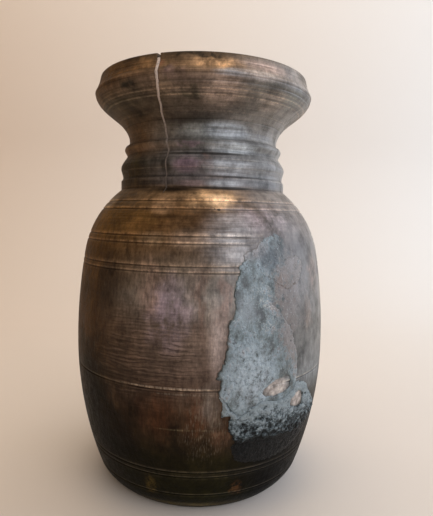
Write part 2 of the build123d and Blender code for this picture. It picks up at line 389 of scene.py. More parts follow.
def outline_piece():
    """The turning's outline as a line of points, with what each row carries as attributes."""
    radius, level, within = spaced_rows()
    outside = ~within
    cut_shade, crest, filled = np.zeros((3, len(level)))
    cut = radius.copy()
    for share in scribe_shares:
        distance = level - share * body_height
        near = outside & (np.abs(distance) < scribe_width)
        filled[near] = scribe_depth * np.clip(1 - 2 * np.abs(distance[near]) / scribe_width, 0, 1)
        cut_shade = np.maximum(cut_shade, outside * bell(distance, groove_reach))
        crest = np.maximum(crest, outside * bell(distance - edge_gap, upper_edge))
        crest = np.maximum(crest, outside * bell(distance + edge_gap, lower_edge) * faint_wear)
    cut -= filled
    for line_level, cut_depth, paleness in tool_lines:
        distance = level - line_level
        cut -= outside * cut_depth * bell(distance, scribe_width / 2)
        cut_shade = np.maximum(cut_shade, outside * bell(distance, groove_reach) * (1 - paleness))
        crest = np.maximum(crest, outside * bell(distance - pale_edge_gap, groove_reach) * paleness)
    for corner in (band_groove_top - corner_gap, lower_ring_top, upper_ring_top, body_height):
        cut_shade = np.maximum(cut_shade, outside * bell(level - corner, corner_shadow_reach))
    for ridge in (band_top, lip_level + corner_gap):
        crest = np.maximum(crest, outside * bell(level - ridge, ridge_wear_reach) * faint_wear)
    shift, width = split_at(height - level)
    fade = np.clip((level - split_end) / split_fade, 0, 1)
    depth = np.where(within, split_depth_inside, -split_depth_outside) * fade
    mesh = bpy.data.meshes.new("turned_outline")
    mesh.from_pydata([(r * MM, 0, z * MM) for r, z in zip(cut, level)], [], [])
    keep_values(mesh, {
        "split_shift": shift * MM, "split_half": width / 2 * MM, "split_cut": depth * MM,
        "split_share": fade, "scribe_fill": filled * MM, "cut_shade": cut_shade, "crest": crest,
    })
    return placed("turned_vessel_wood", mesh), len(level)


# --- Nodes ---
# sockets of a Mix node: its values, its colours and the mixed colour
FIRST_VALUE, SECOND_VALUE, FIRST_COLOUR, SECOND_COLOUR, COLOUR_OUT = 2, 3, 6, 7, 2


def fill(node, inputs):
    """Sets or links a node's inputs, given by name or in order."""
    for key, value in inputs.items() if isinstance(inputs, dict) else enumerate(inputs):
        if isinstance(value, bpy.types.NodeSocket):
            node.id_data.links.new(value, node.inputs[key])
        else:
            node.inputs[key].default_value = value


def add(kind, inputs=(), out=0, stops=(), tree=None, **settings):
    """Adds a node with its settings and inputs, and gives back one output. The kind may end in an
    operation, and the node goes into the tree of its first linked input unless one is named."""
    kind, *operations = kind.split()
    given = inputs.values() if isinstance(inputs, dict) else inputs
    tree = tree or next(value.id_data for value in given if isinstance(value, bpy.types.NodeSocket))
    made = tree.nodes.new(kind if "Node" in kind else "ShaderNode" + kind)
    for operation in operations:
        made.operation = operation
    for name, value in settings.items():
        setattr(made, name, value)
    fill(made, inputs)
    if stops:
        ramp = made.color_ramp.elements
        while len(ramp) > 1:
            ramp.remove(ramp[-1])
        for count, (place, code) in enumerate(stops):
            stop = ramp.new(place) if count else ramp[0]
            stop.position, stop.color = place, hex_colour(code)
    return made.outputs[out]


def new_group(name, kind, inputs, output):
    """A node group with its inputs and its output: each has a name, a type and perhaps a value."""
    tree = bpy.data.node_groups.new(name, kind)
    for (label, of_type, *start), way in [(row, "INPUT") for row in inputs] + [(output, "OUTPUT")]:
        socket = tree.interface.new_socket(name=label, in_out=way, socket_type="NodeSocket" + of_type)
        for value in start:
            socket.default_value = value
    return tree, tree.nodes.new("NodeGroupInput").outputs


def streaks(place, wide, tall, detail, rough=0.55, seed=0.0):
    """Noise whose marks are so many mm wide and tall. It has no seam round the pot."""
    cells = add("VectorMath MULTIPLY", (place, (1 / wide, 1 / wide, 1 / tall)))
    return add("TexNoise", (cells, seed, 1.0, detail, rough), noise_dimensions="4D")


def product(*values):
    """Several values multiplied together."""
    return reduce(lambda first, second: add("Math MULTIPLY", (first, second)), values)


def highest(values):
    """The highest of several values."""
    return reduce(lambda first, second: add("Math MAXIMUM", (first, second)), values)


def oval(azimuth, level, half_angle, half_height, edge):
    """An oval's sizes as the patch takes them."""
    return radians(azimuth), float(level), radians(half_angle), float(half_height), edge


def patch(place, azimuth, level, half_angle, half_height, edge):
    """1 inside an oval on the surface and 0 outside it, with a soft edge."""
    turned_to = add(
        "VectorRotate", {"Vector": place, "Angle": azimuth}, rotation_type="Z_AXIS", invert=True
    )
    x, y, z = add("SeparateXYZ", (turned_to,)).node.outputs
    across = add("Math DIVIDE", (add("Math ARCTAN2", (y, x)), half_angle))
    up = add("Math DIVIDE", (add("Math SUBTRACT", (z, level)), half_height))
    far = add("VectorMath LENGTH", (add("CombineXYZ", (across, up)),), out="Value")
    inner = add("Math SUBTRACT", (1.0, edge), tree=place.id_data)
    return add("MapRange", (far, 1.0, inner), interpolation_type="SMOOTHSTEP")


def patch_group():
    """The oval patch as a group that the finishes share."""
    sizes = [(name, "Float") for name in ("Azimuth", "Level", "Half angle", "Half height", "Edge")]
    tree, given = new_group(
        "surface_patch", "ShaderNodeTree", [("Place", "Vector")] + sizes, ("Mask", "Float")
    )
    fill(tree.nodes.new("NodeGroupOutput"), (patch(*list(given)[:-1]),))
    return tree


def area_of(where, *sizes):
    """A soft oval on the surface."""
    return add("Group", (where, *oval(*sizes)), node_tree=oval_group)


oval_group = patch_group()

# --- The turned shell ---
chatter_pitch, shell_seed, notch_floor_drop = 2.2, 4.0, 0.6
shell_sizes = {
    "Columns": ("Int", 188),
    "Rows": ("Int", 2),
    "Split azimuth": ("Float", radians(split_azimuth)),
    "Crowding at the split": ("Float", 0.9),
    "Notch floor": ("Float", (height - notch_depth - notch_floor_drop) * MM),
    "Out of true": ("Float", 0.22 * MM),
    "Chatter depth": ("Float", 0.07 * MM),
    "Chatter pitch in mm": ("Float", chatter_pitch),
    "Seed": ("Float", shell_seed),
}
# areas: azimuth, level, half angle, half height, softness
levelled_area = (-40, 152, 37, 30, 0.4)  # pitch has run into the cut lines here and levelled them
chatter_area = (-109, 98, 31, 36, 0.7)
chatter_waver, split_bevel, split_floor_share, merge_distance = 3.4, 0.12, 0.78, 0.004


def chatter_ridges(place, pitch, seed):
    """Low ridges left by a chattering tool: near level lines that waver and break."""
    waver = streaks(place, 22.0, 7.0, detail=4.0, rough=0.6, seed=seed)
    turns = add("Math DIVIDE", (add("SeparateXYZ", (place,), out="Z"), pitch))
    bent = add("Math MULTIPLY_ADD", (waver, chatter_waver, turns))
    return add("Math SINE", (product(bent, 2 * pi),))


def turned_shell_tree():
    """Turns an outline round the axis, opens the split and leaves the marks of the lathe."""
    sizes = [(name, *size) for name, size in shell_sizes.items()]
    tree, given = new_group(
        "turned_shell", "GeometryNodeTree", [("Outline", "Geometry"), *sizes, ("Finish", "Material")],
        ("Shell", "Geometry"),
    )
    columns_and_seam = add("Math ADD", (given["Columns"], 1.0))
    grid = add("GeometryNodeMeshGrid", {"Vertices X": columns_and_seam, "Vertices Y": given["Rows"]})
    index = add("GeometryNodeInputIndex", tree=tree)
    row, column = (
        add("FunctionNodeIntegerMath " + way, (index, given["Rows"])) for way in ("MODULO", "DIVIDE_FLOOR")
    )

    def of_row(value, kind="FLOAT"):
        """What the outline holds at this point's row: a value, or an attribute by its name."""
        if isinstance(value, str):
            value = add("GeometryNodeInputNamedAttribute", (value,), tree=tree, data_type="FLOAT")
        from_row = {"Geometry": given["Outline"], "Value": value, "Index": row}
        return add("GeometryNodeSampleIndex", from_row, data_type=kind)

    spot = of_row(add("GeometryNodeInputPosition", tree=tree), "FLOAT_VECTOR")
    radius, _, level = add("SeparateXYZ", (spot,)).node.outputs
    shift, half, cut, split_share = map(of_row, ("split_shift", "split_half", "split_cut", "split_share"))

    # the azimuth of each column, crowded at the split and led along its wander
    share = add("Math DIVIDE", (column, given["Columns"]))
    even = product(add("Math SUBTRACT", (share, 0.5)), 2 * pi)
    crowd = product(add("Math SINE", (even,)), given["Crowding at the split"])
    bend = add("Math SUBTRACT", (even, crowd))
    near_split = add("Math MULTIPLY_ADD", (add("Math COSINE", (even,)), 0.5, 0.5))
    wander = add("Math DIVIDE", (shift, radius))
    wandered = add("Math MULTIPLY_ADD", (wander, near_split, bend))
    angle = add("Math ADD", (wandered, given["Split azimuth"]))
    ray = add("CombineXYZ", [add("Math " + way, (angle,)) for way in ("COSINE", "SINE")])

    def turned_to(radius, level):
        """The place at a radius and a level on this column's ray."""
        flat = add("VectorMath SCALE", {0: ray, "Scale": radius})
        return add("VectorMath ADD", (flat, add("CombineXYZ", {"Z": level})))

    distance = add("Math ABSOLUTE", (product(bend, radius),))
    outer, inner = add("Math ADD", (half, split_bevel * MM)), product(half, split_floor_share)
    opening = add("MapRange", (distance, outer, inner), interpolation_type="SMOOTHSTEP")
    opening = product(opening, split_share)

    place = add("VectorMath SCALE", {0: turned_to(radius, level), "Scale": 1 / MM})
    uneven = streaks(place, 34.0, 22.0, detail=3.0, seed=given["Seed"])
    dents = product(uneven, given["Out of true"])
    ridges = chatter_ridges(place, given["Chatter pitch in mm"], given["Seed"])
    ridge_here = product(add("Math ADD", (ridges, 1.0)), patch(place, *oval(*chatter_area)))
    lathe_marks = add("Math MULTIPLY_ADD", (ridge_here, given["Chatter depth"], dents))
    filled = patch(place, *oval(*levelled_area))
    dressed = add("Math MULTIPLY_ADD", (of_row("scribe_fill"), filled, product(opening, cut)))
    moved = add("Math ADD", (radius, add("Math SUBTRACT", (dressed, lathe_marks))))
    above = add("Math MAXIMUM", (add("Math SUBTRACT", (level, given["Notch floor"])), 0.0))
    lowered = add("Math SUBTRACT", (level, product(above, opening)))
    raised = turned_to(add("Math MAXIMUM", (moved, 0.0)), lowered)

    shell = add("GeometryNodeSetPosition", {"Geometry": grid, "Position": raised})
    for name, value in (("cut_shade", of_row("cut_shade")), ("crest", of_row("crest")), ("split", opening)):
        stored = {"Geometry": shell, "Name": name, "Value": value}
        shell = add("GeometryNodeStoreNamedAttribute", stored, data_type="FLOAT", domain="POINT")
    shell = add("GeometryNodeMergeByDistance", {"Geometry": shell, "Distance": merge_distance * MM})
    shell = add("GeometryNodeSetShadeSmooth", (shell,))
    shell = add("GeometryNodeSetMaterial", {"Geometry": shell, "Material": given["Finish"]})
    shell = add("GeometryNodeRealizeInstances", (shell,))
    fill(tree.nodes.new("NodeGroupOutput"), (shell,))
    return tree


def grown(piece, tree, values):
    """Runs a geometry tree on a piece and keeps the result as a plain mesh."""
    modifier = piece.modifiers.new(tree.name, "NODES")
    modifier.node_group = tree
    sockets = {s.name: s.identifier for s in tree.interface.items_tree if s.in_out == "INPUT"}
    for name, value in values.items():
        modifier[sockets[name]] = value
    evaluated = piece.evaluated_get(bpy.context.evaluated_depsgraph_get())
    mesh = bpy.data.meshes.new_from_object(evaluated)
    piece.modifiers.remove(modifier)
    mesh.name = piece.name
    piece.data = mesh


def facing_out(mesh):
    """Turns a closed mesh's faces so that they point outwards."""
    shape = bmesh.new()
    shape.from_mesh(mesh)
    bmesh.ops.recalc_face_normals(shape, faces=shape.faces)
    if shape.calc_volume(signed=True) < 0:
        bmesh.ops.reverse_faces(shape, faces=shape.faces)
    shape.to_mesh(mesh)
    shape.free()


# --- Finishes ---
def new_finish(name, constants):
    """A new finish: the material, its shader and the place on the surface in mm."""
    finish = bpy.data.materials.new(name)
    finish.use_nodes = True
    shader = finish.node_tree.nodes["Principled BSDF"]
    fill(shader, constants)
    metres = add("TexCoord", out="Object", tree=finish.node_tree)
    return finish, shader, add("VectorMath SCALE", {0: metres, "Scale": 1 / MM})


def coats(colour, layers):
    """Lays colours over one another, each through its mask."""
    for mask, coat in layers:
        coat = hex_colour(coat) if isinstance(coat, str) else coat
        mixed = {"Factor": mask, FIRST_COLOUR: colour, SECOND_COLOUR: coat}
        colour = add("Mix", mixed, out=COLOUR_OUT, data_type="RGBA")
    return colour


def relief(layers):
    """Stacks bumps: each has a height from 0 to 1 and a depth in mm."""
    below = {}
    for bump_height, depth in layers:
        bump = {"Height": bump_height, "Distance": depth * MM, "Strength": 1.0, **below}
        below = {"Normal": add("Bump", bump)}
    return below["Normal"]


def patterned(value, low, high, top=1.0, floor=0.0):
    """A pattern's values between low and high, stretched to run from floor to top."""
    return add("MapRange", (value, low, high, floor, top))


def threads(place, wide, tall, width, seed):
    """Thin wandering threads: 1 along them and 0 between them."""
    field = streaks(place, wide, tall, detail=2.0, rough=0.6, seed=seed)
    return patterned(add("Math ABSOLUTE", (add("Math SUBTRACT", (field, 0.5)),)), width, 0.0)


# The wood's tone by height share of the whole pot: turned from the window, to the front, beside it. These
# are lit and shaded copies of the wood: painted shade on the side turned from the window, a painted grey
# window sheen beside it, a painted gold highlight at the shoulder in front, and near-black low down that is
# partly soot and partly painted shade.
far_tones = (
    (0.00, "#19160d"), (0.06, "#110e07"), (0.15, "#050503"), (0.25, "#050502"), (0.33, "#2f2417"),
    (0.42, "#463220"), (0.50, "#43311f"), (0.60, "#573e21"), (0.67, "#5f441f"), (0.72, "#604b34"),
    (0.735, "#3b2f21"), (0.79, "#332c1d"), (0.82, "#695039"), (0.88, "#4f3e2d"), (0.92, "#453e32"),
    (0.945, "#5f4c3b"), (0.97, "#523614"), (1.00, "#523e28"),
)
front_tones = (
    (0.00, "#18170d"), (0.06, "#191707"), (0.15, "#1d1809"), (0.25, "#453223"), (0.33, "#5a493e"),
    (0.42, "#716054"), (0.50, "#756f68"), (0.60, "#574432"), (0.67, "#5a4028"), (0.72, "#977756"),
    (0.735, "#585150"), (0.79, "#645f5d"), (0.85, "#72716b"), (0.88, "#433e39"), (0.92, "#695b4e"),
    (0.945, "#726053"), (0.97, "#80664c"), (1.00, "#584839"),
)
window_sheen_tones = (
    (0.00, "#060705"), (0.06, "#020201"), (0.15, "#040403"), (0.25, "#43413c"), (0.30, "#686a6a"),
    (0.42, "#575551"), (0.60, "#494543"), (0.66, "#685d57"), (0.72, "#7a6c61"), (0.735, "#565657"),
    (0.82, "#71706d"), (0.88, "#635d56"), (0.92, "#5c554d"), (0.945, "#56534d"), (0.97, "#7c7066"),
    (1.00, "#695e51"),
)
front_side, window_side = ((cos(radians(a)), sin(radians(a)), 0.0) for a in (-35, -38))
# marks in the wood: mm wide and tall, detail, roughness, seed
wood_marks = (
    (1.6, 24.0, 5.0, 0.62),  # fibres, which run up the pot
    (1.1, 5.0, 3.0, 0.6, 1.0),  # flecks and pores
    (36.0, 1.5, 5.0, 0.68, 3.0),  # lines left by turning
    (16.0, 0.8, 2.0, 0.55, 5.0),  # the finest of them
    (11.0, 15.0, 7.0, 0.66, 6.0),  # blotches of oil and smoke
    (3.2, 4.4, 6.0, 0.72, 7.0),  # mottle
    (0.65, 26.0, 1.0, 0.55, 15.0),  # hairs, drawn wider than real ones so that they show
)
# stains, and painted sheen, highlights and shade: azimuth, level, half angle, half height, softness,
# strength, colour, what breaks them up
stains_and_painted_light = (
    # belly
    (-130, 137, 11, 26, 0.9, 0.9, "#241a12", "blotch"),
    # mauve tint with a painted sheen
    (-101, 122, 13, 26, 0.9, 0.8, "#8d7c84", "blotch"),
    (-108, 134, 8, 24, 0.9, 0.65, "#886e60", "fibre"),
    (-90, 138, 6, 16, 0.9, 0.55, "#9a8478", "fibre"),
    # pale stripe beside the sheet: wear with a painted sheen
    (-81, 108, 6, 32, 0.95, 0.62, "#b3a29a", "plain"),
    (-88, 128, 4, 26, 0.9, 0.5, "#6b4a3c", "fibre"),
    (-79, 130, 3, 18, 0.8, 0.6, "#8f6f62", "fibre"),
    # shoulder
    # gold on the shoulder: worn tan wood under a painted highlight, brightest at -79
    (-81, 183, 18, 6.5, 0.9, 0.95, "#dcb081", "blotch"),
    (-79, 183, 11, 4.5, 0.8, 0.9, "#f4cda2", "turning"),
    (-108, 180, 9, 8, 0.9, 0.8, "#bd9670", "turning"),
    (-118, 170, 16, 9, 0.9, 0.45, "#8a6534", "turning"),
    (-155, 182, 14, 6, 0.8, 0.8, "#b5a28c", "turning"),
    (-128, 182, 9, 4, 0.8, 0.6, "#4a3c2c", "blotch"),
    # grey on the window side: painted window sheen
    (-58, 172, 20, 11, 0.9, 0.8, "#998a8c", "blotch"),
    (-112, 168, 16, 8, 0.8, 0.45, "#4a2f16", "blotch"),
    (-92, 161, 13, 8, 0.9, 0.7, "#948070", "turning"),
    (-109, 161, 9, 6, 0.9, 0.6, "#76634e", "turning"),
    # painted window sheen on the upper belly
    (-75, 162, 18, 24, 0.95, 0.68, "#b0b1b5", "turning"),
    # lip
    # gold on the lip: worn tan wood under a painted highlight
    (-82, 256, 16, 5, 0.9, 0.85, "#dcae80", "blotch"),
    # pale on the window side: painted window sheen over the worn lip
    (-58, 256, 18, 5, 0.9, 0.85, "#cfb4a6", "turning"),
    (-117, 255, 6, 5, 0.8, 0.55, "#94704a", "blotch"),
    (-108, 257, 4, 4, 0.8, 0.7, "#7d5640", "mottle"),
    (-102, 250, 6, 6, 0.9, 0.7, "#7a6462", "blotch"),
    # painted window sheen, blue-grey below the lip band at -76
    (-64, 251, 17, 4.5, 0.9, 0.8, "#c4b6ac", "turning"),
    (-76, 250.5, 11, 3, 0.9, 0.85, "#9c9fa3", "turning"),
    (-92, 261, 22, 3, 0.7, 0.85, "#2a241c", "mottle"),
    (-125, 260.5, 10, 4, 0.7, 0.7, "#2a2018", "mottle"),
    # flare, with its green-black smoke
    (-123, 245.5, 11, 5.5, 0.8, 0.92, "#1f201a", "blotch"),
    (-133, 234, 10, 7, 0.8, 0.8, "#1c1a12", "blotch"),
    (-94, 241, 7, 7, 0.8, 0.85, "#26261e", "blotch"),
    (-110, 244, 12, 8, 0.9, 0.6, "#75624f", "blotch"),
    (-79, 242, 15, 9, 0.9, 0.85, "#ad9788", "turning"),
    (-50, 240, 14, 8, 0.9, 0.8, "#8f8072", "turning"),
    (-36, 243, 9, 7, 0.8, 0.7, "#55564f", "blotch"),
    # neck: painted window sheen, a pale grey patch, mauve, painted shade under the upper ring
    (-100, 229, 20, 5, 0.8, 0.6, "#1f1c16", "blotch"),
    # painted window sheen
    (-72, 223.5, 24, 6.5, 0.6, 0.9, "#8f959a", "turning"),
    (-96, 223, 13, 5.5, 0.9, 0.85, "#8f908c", "turning"),
    (-98, 215.5, 12, 2, 0.5, 0.7, "#7a666c", "mottle"),
    # painted window sheen on the upper ring
    (-67, 213.4, 24, 4.8, 0.7, 0.92, "#b0b6b9", "turning"),
    # painted shade under the upper ring
    (-88, 209.9, 40, 1.2, 0.6, 0.8, "#1b1916", "plain"),
    # lower ring
    (-98, 203.5, 12, 6.5, 0.7, 0.85, "#755f68", "turning"),
    (-87, 203.5, 4, 5.5, 0.8, 0.6, "#5d3a30", "blotch"),
    (-113, 204, 6, 6, 0.8, 0.7, "#1e1a10", "blotch"),
    # painted window sheen
    (-73, 203, 19, 7, 0.7, 0.9, "#a6a9ac", "turning"),
    # neck band, with painted window sheen, and soot with painted shade under it
    (-95, 192.5, 12, 2.8, 0.7, 0.85, "#86726f", "turning"),
    # painted window sheen
    (-75, 192.5, 15, 3.2, 0.7, 0.88, "#979a9d", "turning"),
    # soot and painted shade under the band's edge
    (-106, 188.8, 26, 2.8, 0.9, 0.9, "#100c08", "plain"),
    (-74, 190, 24, 1.3, 0.5, 0.85, "#15110d", "plain"),
    # worn brown on the right
    (-29, 140, 8, 17, 0.9, 0.75, "#90786a", "blotch"),
    (-37, 118, 4, 15, 0.8, 0.6, "#957f70", "fibre"),
    (-8, 128, 16, 40, 0.9, 0.7, "#5f4836", "blotch"),
    # near-black blotches and red-brown low down
    (-141, 74, 13, 34, 0.8, 0.92, "#0b0905", "blotch"),
    (-122, 52, 10, 14, 0.9, 0.6, "#0c0a07", "blotch"),
    (-104, 66, 10, 22, 0.9, 0.8, "#4a2c1a", "fibre"),
    (-112, 62, 3, 14, 0.8, 0.6, "#40281a", "fibre"),
    (-79, 54, 6, 12, 0.9, 0.65, "#634736", "fibre"),
    (-98, 52, 3.2, 17, 0.7, 0.8, "#100d07", "fibre"),
    (-90, 66, 6, 18, 0.8, 0.7, "#5e3c28", "fibre"),
    # painted grey sheen
    (-84, 72, 8, 18, 0.9, 0.6, "#6c645c", "fibre"),
    # pale scores
    (-99, 81.3, 23, 0.8, 0.4, 0.8, "#85786a", "flecks"),
    (-94, 78.2, 15, 0.7, 0.4, 0.6, "#7d7062", "flecks"),
    (-93, 57.5, 15, 0.6, 0.4, 0.5, "#6d6046", "flecks"),
    # foot, pits in the shoulder drawn as painted shade, foot rim
    (-70, 18, 4, 8, 0.9, 0.75, "#573a22", "mottle"),
    (-111, 19, 5, 7, 0.8, 0.7, "#4a3c1c", "mottle"),
    # pits painted dark: painted shade in holes that the shell does not have
    (-80.3, 177.4, 1.2, 0.8, 0.5, 1, "#060403", "plain"),
    (-82.2, 177.8, 0.5, 0.5, 0.5, 0.9, "#060403", "plain"),
    (-92, 4.5, 40, 4, 0.7, 0.7, "#5a4f34", "turning"),
)
# these breaks serve the painted sheen, highlights and shade as well as the stains
steady_breaks = ("plain", "turning", "flecks")  # stains broken by these keep an even edge
# other stains' and painted patches' edges wave: waves to a mm, and how far they reach
raggedness, ragged_reach = 0.09, (18.0, 18.0, 14.0)
# the height shares between which the upper edge of the dark low down, partly soot and partly painted shade,
# creeps, and how far
soot_and_shade_creep = (0.55, 0.35, 0.32)
turned_shoulder = (150.0, 176.0)  # above the first level turning begins to show, above the next it is full
worn_gain, worn_lift = (2.1, 1.95, 1.75), (0.06, 0.050, 0.038)  # how edges pale as they wear
# where hands and oil have rubbed the wood to a gloss
oiled_areas = ((-40, 178, 62, 118, 0.5, 0.95), (-68, 210, 26, 30, 0.5, 1.0))
# where soot and pitch wash over the wood beside the patches
washed_areas = ((-56, 134, 15, 36, 0.35, 1.0), (-44, 128, 24, 50, 0.8, 0.42))
bare_areas = ((-56.5, 78.5, 8.0, 7.0, 0.6), (-43.5, 67.5, 5.5, 6.5, 0.6))
pale_thread_area = (-87, 60, 14, 30, 0.8)
sheet_left_edge = (-82, 105, 8.5, 52, 0.5)
# places on the pitch sheet: polished with a painted sheen, scribbled, thin, dark, sooty, tan, wiped to a
# painted sheen, rubbed to a painted sheen
skin_areas = (
    (-68, 86, 14, 26, 0.8), (-63, 124, 10, 26, 0.7), (-46, 128, 20, 60, 0.8), (-60, 151, 7, 10, 0.6),
    (-51, 157, 11, 10, 0.8), (-54, 138, 5, 7, 0.7), (-69, 157, 11, 9, 0.6), (-71, 124, 6, 14, 0.8),
)
# the pitch's tones, whose paler blue-greys are partly painted window sheen
skin_tones = ((0.34, "#252c2e"), (0.42, "#435052"), (0.49, "#67777c"), (0.57, "#7f9099"), (0.66, "#a4b3bc"))
rough_tones = ((0.0, "#040505"), (0.22, "#14181a"), (0.45, "#3e474a"), (0.7, "#6f7a7e"), (1.0, "#98a3a7"))
paste_tones = ((0.0, "#54483f"), (0.3, "#776a61"), (0.55, "#97887d"), (0.8, "#c2b1a6"), (1.0, "#dccbc0"))
bare_tones = ((0.36, "#6c635c"), (0.50, "#a49b94"), (0.62, "#c8beb4"))


def pitch_skin(place):
    """The look of smeared pitch: colour, gloss, mottle and relief, shared by layer and wash."""
    cloud = streaks(place, 8.0, 12.0, detail=6.0, rough=0.66, seed=11.0)
    mottle = streaks(place, 2.8, 3.4, detail=5.0, rough=0.7, seed=12.0)
    grain = streaks(place, 1.2, 1.2, detail=2.0, rough=0.6, seed=13.0)
    scribble = threads(place, 2.8, 1.6, 0.026, 14.0)
    polished_sheen, scribbled, thin, dark, sooty, tan_brown, wiped_sheen, rubbed = (
        area_of(place, *area) for area in skin_areas
    )
    broken = add("Mix", {"Factor": 0.6, FIRST_VALUE: mottle, SECOND_VALUE: cloud})
    show = add("Math MULTIPLY_ADD", (thin, 0.17, broken))
    colour = coats(add("ValToRGB", (cloud,), stops=skin_tones), (
        (product(patterned(show, 0.55, 0.62), 0.85), "#695d57"),
        (patterned(mottle, 0.45, 0.35, 0.7), "#252b2c"),
        (product(dark, patterned(cloud, 0.64, 0.44, 0.92)), "#313f48"),
        (product(sooty, patterned(mottle, 0.58, 0.44, 0.85)), "#2e3537"),
        (product(tan_brown, patterned(mottle, 0.4, 0.5, 0.8)), "#74665f"),
        # painted sheen, matched to the wood's painted sheen beside it
        (product(wiped_sheen, patterned(cloud, 0.36, 0.5, 0.8)), "#8d8788"),
        # painted sheen
        (product(rubbed, 0.55), "#97a3aa"),
        # painted sheen on the polished pitch
        (product(polished_sheen, patterned(mottle, 0.36, 0.58, 0.75)), "#b3c0c9"),
        (product(scribbled, scribble, patterned(cloud, 0.4, 0.55), 0.85), "#c6c3ba"),
        # bright specks are painted glints, dark specks painted shade in fine pits
        (patterned(grain, 0.60, 0.72, 0.4), "#c4cdd2"),
        (patterned(grain, 0.40, 0.30, 0.8), "#22292b"),
    ))
    gloss = patterned(mottle, 0.35, 0.65, 0.48, 0.26)
    return colour, gloss, mottle, ((cloud, 1.4), (mottle, 1.1), (grain, 0.30), (scribble, 0.12))


